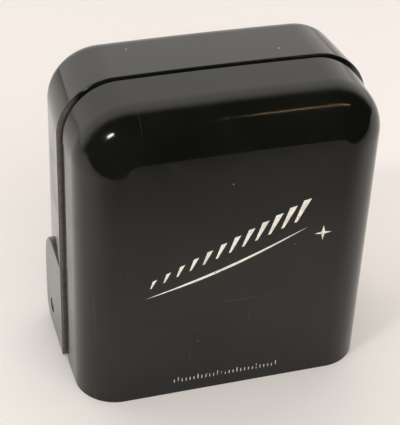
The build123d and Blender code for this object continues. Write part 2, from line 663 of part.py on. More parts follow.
def coil_ring(inner, thick, width):
    """Rectangular ring in X and Y round the core."""
    outer = block(-inner - thick, inner + thick, COIL_FRONT - (inner - COIL_INNER) - thick,
                  COIL_REAR + (inner - COIL_INNER) + thick, AXIS_Z - width / 2, AXIS_Z + width / 2)
    hole = block(-inner, inner, COIL_FRONT - (inner - COIL_INNER), COIL_REAR + (inner - COIL_INNER),
                 AXIS_Z - width, AXIS_Z + width)
    return outer - hole


def coil_former():
    return at_zero(coil_ring(COIL_INNER, FORMER_THICK, COIL_WIDTH))


def coil_winding():
    return at_zero(coil_ring(COIL_INNER + FORMER_THICK, WINDING_THICK, COIL_WIDTH - 0.3))


WINDING_FRONT = COIL_FRONT - FORMER_THICK - WINDING_THICK
WINDING_REAR = COIL_REAR + FORMER_THICK + WINDING_THICK


def pivots():
    """Front and rear pivots with the collars that hold the hairsprings and the pointer."""
    front = rod(0.5, 0, AXIS_Z, 3.45, WINDING_FRONT) + rod(0.12, 0, AXIS_Z, 3.05, 3.5)
    rear = rod(0.8, 0, AXIS_Z, WINDING_REAR, 10.35) + rod(0.45, 0, AXIS_Z, 10.3, 11.15)
    rear += rod(0.12, 0, AXIS_Z, 11.1, 11.55)
    return Compound([front, rear])


def upright_pointer():
    blade = Polyline((-0.55, 0), (-0.16, POINTER_LENGTH), (0, POINTER_LENGTH + 0.8), (0.16, POINTER_LENGTH),
                     (0.55, 0), (0.4, -6.0), (-0.4, -6.0), close=True)
    outline = make_face(blade) + Circle(1.3) + Rectangle(7.2, 0.5) - Circle(0.46)
    return slab(outline, POINTER_FRONT, POINTER_REAR, AXIS_Z)


def pointer():
    """Tapered aluminium pointer with a hub, a tail and two cross arms."""
    return at_zero(upright_pointer())


def balance_weights():
    """Three weights threaded on the pointer's tail and cross arms."""
    weights = [(0, AXIS_Z - 5.0, 1.25, 1.7), (-3.0, AXIS_Z, 0.45, 0.6), (3.0, AXIS_Z, 0.45, 0.6)]
    middle_y = (POINTER_FRONT + POINTER_REAR) / 2
    solids = []
    for x, z, radius, length in weights:
        turn = Rot(0, 90, 0) if x else Rot(0, 0, 0)
        bead = Pos(x, middle_y, z) * turn * Cylinder(radius, length)
        bead &= block(-5, 5, middle_y - 0.3, middle_y + 0.3, AXIS_Z - 8, AXIS_Z + 8)
        solids.append(at_zero(bead - upright_pointer()))
    return Compound(solids)


def hairspring(y_middle, turn_from):
    """Flat spiral spring."""
    turns, start, gap, ribbon, width = 3.0, 0.75, 0.42, 0.12, 0.2
    steps = 24
    path = []
    for step in range(int(turns * steps) + 1):
        angle = radians(turn_from + 360 * step / steps)
        radius = start + gap * step / steps
        path.append((radius * cos(angle), radius * sin(angle)))
    line = Spline(*path)
    outer = [(x * (1 + ribbon / sqrt(x * x + z * z)), z * (1 + ribbon / sqrt(x * x + z * z))) for x, z in path]
    back = Spline(*outer)
    ends = [Line(path[0], outer[0]), Line(path[-1], outer[-1])]
    ribbon_face = make_face([line, back, *ends])
    return slab(ribbon_face, y_middle - width / 2, y_middle + width / 2, AXIS_Z)


# ---- Zero adjuster ------------------------------------------------------------------------------------------
def zero_screw():
    """Slotted adjuster in the back wall with an eccentric pin."""
    head = towards_back(slotted_screw(1.5, 0.7, 1.15, 2.2, 0.45), 0, 15.65, ZERO_Z, 90)
    return head + rod(0.4, 0, ZERO_Z + ZERO_THROW, 11.4, 13.6)


def zero_lever():
    """Lever on the rear jewel screw with a fork round the adjuster's pin and a stud for the rear hairspring."""
    reach = ZERO_Z - AXIS_Z
    outline = Circle(2.3) + Pos(0, reach / 2) * Rectangle(1.6, reach) + Pos(0, reach + 0.5) * Rectangle(2.6, 3.0)
    outline -= Pos(0, reach + 0.9) * Rectangle(1.0, 2.4)
    outline -= Circle(0.86)
    stud = rod(0.25, 0, AXIS_Z + STUD_RADIUS, 10.85, ZERO_LEVER[0] + 0.1)
    return slab(outline, *ZERO_LEVER, AXIS_Z) + stud


# ---- Scale side ---------------------------------------------------------------------------------------------
def window_glass():
    pane = fillet(Rectangle(WINDOW_WIDTH + 3.2, WINDOW_HEIGHT + 2.4).vertices(), 0.9)
    return slab(pane, BACK_INSIDE, BACK_INSIDE + WINDOW_GLASS_THICK, WINDOW_Z)


def glass_retainer():
    """Thin brass frame behind the window's glass."""
    frame = fillet(Rectangle(WINDOW_WIDTH + 4.2, WINDOW_HEIGHT + 3.2).vertices(), 1.2)
    frame -= fillet(Rectangle(WINDOW_WIDTH + 0.6, WINDOW_HEIGHT + 0.6).vertices(), 2.0)
    return slab(frame, BACK_INSIDE - 0.35, BACK_INSIDE, WINDOW_Z)


def calculator_disc():
    """Flat turning disc that carries the exposure numbers."""
    disc = rod(DIAL_RADIUS, 0, DIAL_Z, DIAL_FRONT, DIAL_REAR)
    disc = chamfer(disc.edges().sort_by(Axis.Y)[-1], 0.25)
    return disc - rod(RIVET_RADIUS + 0.06, 0, DIAL_Z, 10, 20)


def dial_knob():
    """Fluted finger knob pressed on the disc, dished in the middle for the rivet's head."""
    knob = rod(KNOB_RADIUS, 0, DIAL_Z, DIAL_REAR, KNOB_REAR)
    knob = chamfer(knob.edges().sort_by(Axis.Y)[-1], 0.4)
    flutes = []
    for flute in range(KNOB_FLUTES):
        angle = radians(360 * flute / KNOB_FLUTES)
        x, z = (KNOB_RADIUS + 0.2) * cos(angle), (KNOB_RADIUS + 0.2) * sin(angle)
        flutes.append(rod(0.5, x, DIAL_Z + z, DIAL_REAR - 1, KNOB_REAR + 1))
    knob -= flutes
    knob -= rod(3.2, 0, DIAL_Z, 16.9, 20)
    return knob - rod(RIVET_RADIUS + 0.06, 0, DIAL_Z, 10, 20)


def dial_rivet():
    """Rivet that the dial turns on, peened inside the shell."""
    shaft = rod(RIVET_RADIUS - 0.01, 0, DIAL_Z, BACK_INSIDE - 1.5, 17.0)
    head = rod(2.7, 0, DIAL_Z, 16.95, 17.5)
    head = chamfer(head.edges().sort_by(Axis.Y)[-1], 0.3)
    return shaft + head + rod(2.3, 0, DIAL_Z, BACK_INSIDE - 1.6, BACK_INSIDE - 1.0)


def dial_washer():
    """Wave washer that gives the dial its drag."""
    return rod(5.0, 0, DIAL_Z, DIAL_RECESS_FLOOR, DIAL_FRONT) - rod(1.6, 0, DIAL_Z, 14, 17)


def hinge_screws():
    """Shoulder screws through the cheeks that the arms turn on."""
    screws = []
    for side in SIDES:
        screw = slotted_screw(1.38, 0.5, HINGE_PIN_RADIUS, 28.4 - 24.2, 0.4)
        screws.append(Pos(side * 28.35, HINGE_Y, HINGE_Z) * Rot(0, 90 * side, 0) * Rot(0, 0, 50) * screw)
    return Compound(screws)


# ---- Electrical ---------------------------------------------------------------------------------------------
RESISTOR_XZ = (-12.0, 7.4)
RESISTOR_REAR = 12.0


def resistor_bobbin():
    """Flanged bobbin on its post, axis along Y."""
    x, z = RESISTOR_XZ
    bobbin = rod(2.0, x, z, 5.0, RESISTOR_REAR)
    bobbin += rod(3.6, x, z, 5.0, 5.6) + rod(3.6, x, z, RESISTOR_REAR - 0.6, RESISTOR_REAR)
    return bobbin - rod(0.8, x, z, 4, 13)


def resistor_winding():
    x, z = RESISTOR_XZ
    return rod(3.1, x, z, 5.6, RESISTOR_REAR - 0.6) - rod(2.0, x, z, 5, 12)


def resistor_screw():
    x, z = RESISTOR_XZ
    return towards_front(slotted_screw(1.5, 0.6, 0.68, 8.6, 0.35), x, 5.0, z, 65)


WIRE_RADIUS = 0.45
TAG_THICK = 0.3
# Cell to movement, cell to resistor, and resistor to movement.
WIRES = (
    ((14.0, 1.95, 10.5), (14.0, 4.2, 9.6), (15.2, 6.0, 11.6), (16.7, 6.4, 14.6), (17.5, 5.5, 18.0),
     (17.5, 4.25, 21.0), (17.5, 4.2, 23.4)),
    ((-14.2, 1.9, 10.9), (-15.0, 4.4, 11.1), (-15.1, 7.0, 10.8), (-14.6, 9.2, 10.2)),
    ((-15.8, 9.6, 7.9), (-16.9, 9.2, 10.4), (-17.7, 8.2, 13.6), (-17.9, 6.8, 16.8), (-17.6, 5.2, 19.6),
     (-17.5, 4.25, 22.2), (-17.5, 4.2, 23.6)),
)


def bend_radii(points):
    """The largest arc that each corner's shorter run allows."""
    vectors = [Vector(*point) for point in points]
    radii = []
    for before, corner, after in zip(vectors, vectors[1:], vectors[2:]):
        turn = (corner - before).get_angle(after - corner)
        run = min((corner - before).length, (after - corner).length)
        half = radians(turn / 2)
        radii.append(0.45 * run * cos(half) / sin(half))
    return radii


def lead(points):
    """Insulated lead as a tube of straight runs and tangent arcs."""
    path = FilletPolyline(*points, radius=bend_radii(points))
    start = Plane(origin=path @ 0, z_dir=path % 0)
    return sweep(start * Circle(WIRE_RADIUS), path=path)


def solder_tags():
    """Two tags on the deck, and two under the movement plate's ends."""
    tags = []
    for side in SIDES:
        deck_tag = fillet(Rectangle(2.6, 4.4).vertices(), 0.8)
        tags.append(slab(Pos(-side * 14.0, 0) * deck_tag, DECK_REAR, DECK_REAR + TAG_THICK, 10.7))
    for x, z in PLATE_POSTS:
        tag = Circle(1.9) + Pos(0, -2.6) * Rectangle(1.6, 3.2) - Circle(0.75)
        tags.append(slab(Pos(-x, 0) * tag, PLATE_REAR, PLATE_REAR + TAG_THICK, z))
    return Compound(tags)


# ---- Export -------------------------------------------------------------------------------------------------
PARTS = {
    "rear_shell": rear_shell,
    "front_cover": front_cover,
    "hinge_arm_left": lambda: hinge_arm(-1),
    "hinge_arm_right": lambda: hinge_arm(1),
    "arm_screws": arm_screws,
    "hinge_screws": hinge_screws,
    "exposure_card": exposure_card,
    "card_pins": card_pins,
    "cell_deck": cell_deck,
    "deck_screws": deck_screws,
    "light_grid": light_grid,
    "grid_bezel": grid_bezel,
    "bezel_screws": bezel_screws,
    "cell_glass": cell_glass,
    "contact_frame": contact_frame,
    "selenium_cell": selenium_cell,
    "cell_insulator": cell_insulator,
    "cell_retainer": cell_retainer,
    "retainer_screws": retainer_screws,
    "catch_spring": catch_spring,
    "catch_rivet": catch_rivet,
    "magnet": magnet,
    "pole_pieces": pole_pieces,
    "iron_core": iron_core,
    "core_bracket": core_bracket,
    "movement_plate": movement_plate,
    "movement_screws": movement_screws,
    "bridge_pillars": bridge_pillars,
    "rear_bridge": rear_bridge,
    "bridge_screws": bridge_screws,
    "front_jewel_screw": front_jewel_screw,
    "rear_jewel_screw": rear_jewel_screw,
    "scale_plate": scale_plate,
    "scale_screws": scale_screws,
    "coil_former": coil_former,
    "coil_winding": coil_winding,
    "pivots": pivots,
    "pointer": pointer,
    "balance_weights": balance_weights,
    "hairspring_front": lambda: hairspring(3.6, 0),
    "hairspring_rear": lambda: hairspring(11.0, 90),
    "zero_screw": zero_screw,
    "zero_lever": zero_lever,
    "window_glass": window_glass,
    "glass_retainer": glass_retainer,
    "calculator_disc": calculator_disc,
    "dial_knob": dial_knob,
    "dial_rivet": dial_rivet,
    "dial_washer": dial_washer,
    "resistor_bobbin": resistor_bobbin,
    "resistor_winding": resistor_winding,
    "resistor_screw": resistor_screw,
    "lead_wires": lambda: Compound([lead(points) for points in WIRES]),
    "solder_tags": solder_tags,
}

os.makedirs("parts", exist_ok=True)
for name, make in PARTS.items():
    export_step(Pos(0, -MIDDLE_Y, 0) * make(), f"parts/{name}.step")
print("wrote", len(PARTS), "parts")
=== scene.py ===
"""Looks of the pocket light meter: camera, materials, print and paint, floor and light.

Print is laid out in millimetres on its own plane, and the plane's place comes from the CAD frame. All other
distances are in metres, and the scales of textures are per metre.
"""

import json
from math import cos, pi, radians, sin

import bmesh
import bpy
from mathutils import Matrix, Vector


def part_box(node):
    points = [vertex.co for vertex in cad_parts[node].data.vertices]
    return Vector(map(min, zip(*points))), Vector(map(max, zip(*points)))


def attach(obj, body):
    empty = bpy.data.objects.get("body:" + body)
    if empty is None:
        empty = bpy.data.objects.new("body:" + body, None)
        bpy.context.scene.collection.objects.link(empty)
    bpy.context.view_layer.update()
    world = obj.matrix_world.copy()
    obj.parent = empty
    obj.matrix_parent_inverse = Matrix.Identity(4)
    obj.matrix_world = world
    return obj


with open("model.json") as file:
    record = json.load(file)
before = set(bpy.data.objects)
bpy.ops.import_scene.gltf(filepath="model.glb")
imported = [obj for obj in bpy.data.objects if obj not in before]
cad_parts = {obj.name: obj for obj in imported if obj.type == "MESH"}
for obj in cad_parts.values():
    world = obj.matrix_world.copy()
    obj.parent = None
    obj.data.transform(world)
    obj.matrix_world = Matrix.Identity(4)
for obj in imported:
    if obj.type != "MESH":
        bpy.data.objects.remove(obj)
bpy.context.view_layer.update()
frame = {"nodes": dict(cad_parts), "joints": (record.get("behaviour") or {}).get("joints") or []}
nodes = frame["nodes"]
joints = {joint["name"]: joint for joint in frame["joints"]}
MM = 0.001
SEAM_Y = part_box("rear_shell")[0].y     # the rear shell's front edge lies on the seam

# ---- Camera ------------------------------------------------------------------------------------------------
CAMERA_AT = (-0.06573, -0.196845, 0.18159)
CAMERA_YAW, CAMERA_PITCH, CAMERA_ROLL = 0.3146, 0.634, 0.0469   # radians: to the right, down, right side up
SENSOR, LENS = 36, 114.9425            # mm; the sensor's size is that of the picture's longer side


def make_camera():
    level = cos(CAMERA_PITCH)
    forward = Vector((sin(CAMERA_YAW) * level, cos(CAMERA_YAW) * level, -sin(CAMERA_PITCH)))
    right = Vector((cos(CAMERA_YAW), -sin(CAMERA_YAW), 0))
    up = right.cross(forward)
    rolled_right = right * cos(CAMERA_ROLL) + up * sin(CAMERA_ROLL)
    rolled_up = up * cos(CAMERA_ROLL) - right * sin(CAMERA_ROLL)
    data = bpy.data.cameras.new("camera")
    data.sensor_width = SENSOR
    data.lens = LENS
    data.clip_start, data.clip_end = 0.01, 20
    camera = bpy.data.objects.new("camera", data)
    turn = Matrix((rolled_right, rolled_up, -forward)).transposed().to_4x4()
    camera.matrix_world = Matrix.Translation(CAMERA_AT) @ turn
    bpy.context.scene.collection.objects.link(camera)
    bpy.context.scene.camera = camera


make_camera()


# ---- Shader helpers ----------------------------------------------------------------------------------------
class Paint:
    """A Principled material, with short calls for the textures that drive it."""

    def __init__(self, name, color, roughness, metallic=0.0, **sockets):
        self.material = bpy.data.materials.new(name)
        self.material.use_nodes = True
        self.tree = self.material.node_tree
        self.shader = self.tree.nodes["Principled BSDF"]
        self.coordinates = self.tree.nodes.new("ShaderNodeTexCoord").outputs["Object"]
        sockets.update(Base_Color=(*color, 1), Roughness=roughness, Metallic=metallic)
        for socket, value in sockets.items():
            self.shader.inputs[socket.replace("_", " ")].default_value = value

    def feed(self, socket, output):
        self.tree.links.new(output, self.shader.inputs[socket])

    def axes(self):
        """The coordinates as outputs X, Y and Z."""
        node = self.tree.nodes.new("ShaderNodeSeparateXYZ")
        self.tree.links.new(self.coordinates, node.inputs[0])
        return node.outputs

    def stretched(self, scale, turn=(0, 0, 0)):
        mapping = self.tree.nodes.new("ShaderNodeMapping")
        mapping.inputs["Scale"].default_value = scale
        mapping.inputs["Rotation"].default_value = turn
        self.tree.links.new(self.coordinates, mapping.inputs["Vector"])
        return mapping.outputs["Vector"]

    def noise(self, scale, detail, coordinates=None, distortion=0.0):
        node = self.tree.nodes.new("ShaderNodeTexNoise")
        node.inputs["Scale"].default_value = scale
        node.inputs["Detail"].default_value = detail
        node.inputs["Distortion"].default_value = distortion
        self.tree.links.new(coordinates or self.coordinates, node.inputs["Vector"])
        return node.outputs["Fac"]

    def waves(self, scale, direction, coordinates=None):
        node = self.tree.nodes.new("ShaderNodeTexWave")
        node.bands_direction = direction
        node.inputs["Scale"].default_value = scale
        self.tree.links.new(coordinates or self.coordinates, node.inputs["Vector"])
        return node.outputs["Fac"]

    def ramp(self, value, low, high, start, end):
        """Maps low..high of value to start..end, smoothly and held at the ends."""
        node = self.tree.nodes.new("ShaderNodeMapRange")
        node.interpolation_type = "SMOOTHSTEP"
        for socket, number in zip(("From Min", "From Max", "To Min", "To Max"), (low, high, start, end)):
            node.inputs[socket].default_value = number
        self.tree.links.new(value, node.inputs["Value"])
        return node.outputs["Result"]

    def math(self, operation, first, second):
        node = self.tree.nodes.new("ShaderNodeMath")
        node.operation = operation
        for socket, value in zip(node.inputs, (first, second)):
            if isinstance(value, (int, float)):
                socket.default_value = value
            else:
                self.tree.links.new(value, socket)
        return node.outputs["Value"]

    def mix(self, share, first, second):
        """Colour mix. first and second are colours or outputs."""
        node = self.tree.nodes.new("ShaderNodeMix")
        node.data_type = "RGBA"
        self.tree.links.new(share, node.inputs[0])
        for socket, value in zip((node.inputs[6], node.inputs[7]), (first, second)):
            if isinstance(value, tuple):
                socket.default_value = (*value, 1)
            else:
                self.tree.links.new(value, socket)
        return node.outputs[2]

    def bump(self, height, strength, distance):
        """Adds a bump over any bump already there. distance is in metres."""
        node = self.tree.nodes.new("ShaderNodeBump")
        node.inputs["Strength"].default_value = strength
        node.inputs["Distance"].default_value = distance
        self.tree.links.new(height, node.inputs["Height"])
        normal = self.shader.inputs["Normal"]
        if normal.links:
            self.tree.links.new(normal.links[0].from_socket, node.inputs["Normal"])
        self.tree.links.new(node.outputs["Normal"], normal)

    def clouds(self, scale, detail, low, high, first, second, most=1):
        """The first colour with clouds of the second, where the noise goes from low to high."""
        return self.mix(self.ramp(self.noise(scale, detail), low, high, 0, most), first, second)

    def specks(self, scale, solid, fading, first_grey, full_grey, most):
        """Round specks at the middle of some cells, those whose random grey is high enough."""
        node = self.tree.nodes.new("ShaderNodeTexVoronoi")
        node.inputs["Scale"].default_value = scale
        self.tree.links.new(self.coordinates, node.inputs["Vector"])
        spot = self.ramp(node.outputs["Distance"], solid, fading, 1, 0)
        picked = self.ramp(node.outputs["Color"], first_grey, full_grey, 0, most)
        return self.math("MULTIPLY", spot, picked)

    def scuffs(self, scale, smooth, rough):
        """Feeds the roughness with a noise between two values."""
        self.feed("Roughness", self.ramp(self.noise(scale, 6), 0.3, 0.7, smooth, rough))


# Rotation and stretch of each set of hair scratches.
SCRATCH_SETS = (((0.3, 0.5, 0.2), (35, 35, 2600)),
                ((1.1, 0.2, 0.9), (30, 2400, 30)),
                ((0.2, 1.3, 0.5), (2200, 40, 40)))
RIM_DEPTH = 0.0004                 # how far behind the seam the painted light on the side rims reaches
RIM_INNER_X, RIM_OUTER_X = 0.0245, 0.0275      # where it begins, and where it is full, on either side


def moulding(name, dark, light, smooth, rough, dust, rim=0.0):
    """Moulded phenolic: cloudy black, slightly wavy, with hair scratches, dull patches and specks of dust.

    rim is how much the side edges that face the seam are lightened: painted light standing in for the
    reflection they catch.
    """
    paint = Paint(name, dark, smooth, IOR=1.47)
    color = paint.clouds(70, 6, 0.35, 0.7, dark, light)
    hairs = []
    for turn, stretch in SCRATCH_SETS:
        lines = paint.noise(1.0, 1.5, paint.stretched(stretch, turn))
        hairs.append(paint.ramp(lines, 0.74, 0.765, 0, 1))
    scratch = paint.math("MAXIMUM", paint.math("MAXIMUM", hairs[0], hairs[1]), hairs[2])
    color = paint.mix(paint.specks(300, 0.03, 0.06, 0.74, 0.76, dust), color, (0.50, 0.48, 0.45))
    color = paint.mix(paint.math("MULTIPLY", scratch, 0.12 * dust), color, (0.12, 0.115, 0.105))
    # Painted light: a paler band on the side rim faces just behind the seam, in place of the reflection they
    # catch.
    if rim:
        axes = paint.axes()
        edge = paint.ramp(axes["Y"], SEAM_Y, SEAM_Y + RIM_DEPTH, rim, 0)
        side = paint.ramp(paint.math("ABSOLUTE", axes["X"], 0), RIM_INNER_X, RIM_OUTER_X, 0, 1)
        cloud = paint.ramp(paint.noise(900, 5), 0.25, 0.65, 0.6, 1)
        painted_rim_light = paint.math("MULTIPLY", paint.math("MULTIPLY", edge, side), cloud)
        color = paint.mix(painted_rim_light, color, (0.13, 0.122, 0.108))
    paint.feed("Base Color", color)
    dull = paint.ramp(paint.noise(110, 7, distortion=0.6), 0.35, 0.75, smooth, rough)
    paint.feed("Roughness", paint.math("ADD", dull, paint.math("MULTIPLY", scratch, 0.18)))
    paint.bump(paint.noise(42, 1), 0.02, 0.0006)
    paint.bump(paint.noise(1500, 3), 0.03, 0.00002)
    paint.bump(scratch, -0.12, 0.00001)
    return paint.material


def dimmed(color, share):
    return tuple(share * value for value in color)


def metal(name, color, tarnish, smooth, rough, spots=0.0):
    """Drawn or turned metal with a fine grain, cloudy tarnish, dark spots and worn gloss."""
    paint = Paint(name, color, smooth, 1.0)
    shade = paint.clouds(420, 6, 0.38, 0.72, color, tarnish)
    if spots:
        shade = paint.mix(paint.specks(900, 0.1, 0.3, 0.7, 0.75, spots), shade, dimmed(tarnish, 0.35))
    paint.feed("Base Color", shade)
    lines = paint.noise(1.0, 3, paint.stretched((60, 60, 1800)))
    worn = paint.ramp(paint.noise(260, 5), 0.3, 0.7, smooth, rough)
    paint.feed("Roughness", paint.math("ADD", worn, paint.math("MULTIPLY", lines, 0.12)))
    paint.bump(lines, 0.12, 0.00002)
    return paint.material


def enamel(name, color, stain, smooth=0.3, rough=0.5):
    """Sprayed enamel on sheet metal, yellowed in clouds, with small chips."""
    paint = Paint(name, color, smooth)
    shade = paint.clouds(150, 6, 0.4, 0.75, color, stain, 0.8)
    chips = paint.specks(620, 0.04, 0.09, 0.86, 0.88, 0.6)
    paint.feed("Base Color", paint.mix(chips, shade, dimmed(stain, 0.3)))
    paint.scuffs(240, smooth, rough)
    paint.bump(paint.noise(2200, 2), 0.06, 0.00002)
    return paint.material


def ink(name, color, worn, missing):
    """Print or filled paint that has thinned in places. missing is the noise above which it has gone."""
    paint = Paint(name, color, 0.45)
    shade = paint.clouds(500, 5, 0.35, 0.7, color, dimmed(color, 0.72), 0.7)
    gaps = paint.ramp(paint.noise(1900, 6), missing, missing + 0.06, 0, 1)
    paint.feed("Base Color", paint.mix(gaps, shade, worn))
    paint.scuffs(800, 0.35, 0.6)
    paint.bump(paint.noise(3000, 3), 0.2, 0.00002)
    return paint.material


def glass(name, tint):
    """Clear window glass, a little wavy, with smeared patches."""
    paint = Paint(name, tint, 0.02, Transmission_Weight=1.0, IOR=1.5)
    paint.feed("Roughness", paint.ramp(paint.noise(260, 6), 0.45, 0.8, 0.015, 0.09))
    paint.bump(paint.noise(60, 1), 0.03, 0.0001)
    return paint.material


def winding(name, color, dark, turns):
    """Fine enamelled wire wound in close turns across X."""
    paint = Paint(name, color, 0.28, 0.9)
    wires = paint.waves(turns, "X")
    # Painted shade: the colour turns dark in the troughs between the turns.
    paint.feed("Base Color", paint.mix(paint.ramp(wires, 0.1, 0.8, 0, 1), dark, color))
    paint.scuffs(700, 0.2, 0.4)
    paint.bump(wires, 0.6, 0.00006)
    return paint.material


def cotton(name, color, pale):
    """Waxed cotton braid over a wire: two crossing sets of fine ribs."""
    paint = Paint(name, color, 0.75, Sheen_Weight=0.3)
    one = paint.waves(560, "DIAGONAL")
    other = paint.waves(560, "DIAGONAL", paint.stretched((1, -1, 1)))
    ribs = paint.math("MAXIMUM", one, other)
    # Painted light and shade: the raised ribs are paler and the grooves between them darker.
    paint.feed("Base Color", paint.mix(paint.ramp(ribs, 0.3, 1, 0, 1), color, pale))
    paint.bump(ribs, 0.7, 0.00012)
    paint.scuffs(900, 0.6, 0.85)
    return paint.material


def selenium():
    """Sprayed selenium layer under a clear lacquer: dark grey-violet with a fine sparkle."""
    paint = Paint("selenium", (0.07, 0.062, 0.07), 0.34, 0.55, Coat_Weight=0.5, Coat_Roughness=0.12)
    cloud = paint.clouds(110, 6, 0.35, 0.7, (0.055, 0.048, 0.058), (0.115, 0.10, 0.095))
    paint.feed("Base Color", paint.clouds(5200, 2, 0.62, 0.72, cloud, (0.3, 0.28, 0.3), 0.7))
    paint.scuffs(1300, 0.25, 0.5)
    paint.bump(paint.noise(3600, 3), 0.25, 0.00003)
    return paint.material


def fibre():
    """Vulcanised fibre board: red-brown with long pale flecks."""
    paint = Paint("fibre", (0.21, 0.075, 0.04), 0.62)
    flecks = paint.noise(1.0, 4, paint.stretched((900, 900, 120)))
    cloud = paint.clouds(160, 5, 0.35, 0.7, (0.17, 0.055, 0.03), (0.27, 0.105, 0.055))
    paint.feed("Base Color", paint.mix(paint.ramp(flecks, 0.6, 0.72, 0, 0.6), cloud, (0.42, 0.24, 0.15)))
    paint.scuffs(600, 0.5, 0.75)
    paint.bump(flecks, 0.3, 0.00005)
    return paint.material


# ---- Finishes ----------------------------------------------------------------------------------------------
JET, JET_CLOUD = (0.0030, 0.0032, 0.0022), (0.0062, 0.0062, 0.0045)
finishes = {
    "bakelite": moulding("bakelite", JET, JET_CLOUD, 0.07, 0.2, dust=1.0),
    "rear_bakelite": moulding("rear_bakelite", JET, JET_CLOUD, 0.07, 0.2, dust=1.0, rim=0.9),
    "deck_moulding": moulding("deck_moulding", (0.013, 0.011, 0.009), (0.024, 0.019, 0.015), 0.25, 0.42,
                              dust=0.4),
    "grid_moulding": moulding("grid_moulding", (0.020, 0.012, 0.007), (0.038, 0.022, 0.012), 0.22, 0.38,
                              dust=0.4),
    "nickel": metal("nickel", (0.60, 0.575, 0.53), (0.47, 0.44, 0.38), 0.14, 0.34, spots=0.25),
    "steel": metal("steel", (0.46, 0.46, 0.47), (0.27, 0.26, 0.25), 0.22, 0.46, spots=0.7),
    "brass": metal("brass", (0.70, 0.50, 0.21), (0.42, 0.27, 0.10), 0.17, 0.42, spots=0.6),
    "bronze": metal("bronze", (0.62, 0.38, 0.17), (0.36, 0.20, 0.09), 0.2, 0.4),
    "aluminium": metal("aluminium", (0.80, 0.80, 0.79), (0.58, 0.58, 0.57), 0.28, 0.48),
    "copper": winding("copper", (0.55, 0.19, 0.07), (0.16, 0.045, 0.02), 900),
    "pointer_metal": enamel("pointer_metal", (0.02, 0.02, 0.02), (0.05, 0.045, 0.04), 0.35, 0.5),
    "magnet_iron": metal("magnet_iron", (0.17, 0.17, 0.18), (0.10, 0.085, 0.075), 0.35, 0.6, spots=0.9),
    "soft_iron": metal("soft_iron", (0.36, 0.355, 0.35), (0.22, 0.20, 0.18), 0.3, 0.55, spots=0.6),
    "glass": glass("glass", (0.97, 0.985, 0.975)),
    "selenium": selenium(),
    "fibre": fibre(),
    "card_metal": enamel("card_metal", (0.72, 0.67, 0.54), (0.52, 0.43, 0.28)),
    "scale_metal": enamel("scale_metal", (0.80, 0.76, 0.64), (0.64, 0.55, 0.39)),
    "disc_metal": enamel("disc_metal", (0.016, 0.015, 0.014), (0.034, 0.030, 0.026), 0.28, 0.45),
    "wire_cover": cotton("wire_cover", (0.20, 0.030, 0.022), (0.42, 0.10, 0.07)),
}

FINISH_OF = {
    "bakelite": ("front_cover",),
    "rear_bakelite": ("rear_shell",),
    "deck_moulding": ("cell_deck",),
    "grid_moulding": ("light_grid",),
    "nickel": ("hinge_arm_left", "hinge_arm_right", "hinge_screws", "grid_bezel", "zero_screw", "dial_knob",
               "dial_rivet"),
    "steel": ("arm_screws", "cell_retainer", "catch_spring", "movement_screws", "bridge_screws", "pivots"),
    "brass": ("card_pins", "deck_screws", "bezel_screws", "contact_frame", "retainer_screws", "catch_rivet",
              "core_bracket", "movement_plate", "bridge_pillars", "rear_bridge", "front_jewel_screw",
              "rear_jewel_screw", "scale_screws", "balance_weights", "zero_lever", "glass_retainer",
              "resistor_screw", "solder_tags"),
    "bronze": ("hairspring_front", "hairspring_rear", "dial_washer"),
    "aluminium": ("coil_former",),
    "copper": ("coil_winding", "resistor_winding"),
    "pointer_metal": ("pointer",),
    "magnet_iron": ("magnet",),
    "soft_iron": ("pole_pieces", "iron_core"),
    "glass": ("cell_glass", "window_glass"),
    "selenium": ("selenium_cell",),
    "fibre": ("cell_insulator", "resistor_bobbin"),
    "card_metal": ("exposure_card",),
    "scale_metal": ("scale_plate",),
    "disc_metal": ("calculator_disc",),
    "wire_cover": ("lead_wires",),
}
for finish, names in FINISH_OF.items():
    for name in names:
        nodes[name].data.materials.clear()
        nodes[name].data.materials.append(finishes[finish])

cream = ink("cream_paint", (0.88, 0.85, 0.76), (0.05, 0.048, 0.042), 0.66)
faded = ink("faded_paint", (0.66, 0.64, 0.58), (0.04, 0.038, 0.034), 0.56)
black_print = ink("black_print", (0.018, 0.017, 0.016), (0.16, 0.15, 0.13), 0.70)
red_print = ink("red_print", (0.40, 0.030, 0.020), (0.52, 0.32, 0.26), 0.68)
white_print = ink("white_print", (0.78, 0.75, 0.66), (0.16, 0.15, 0.13), 0.68)


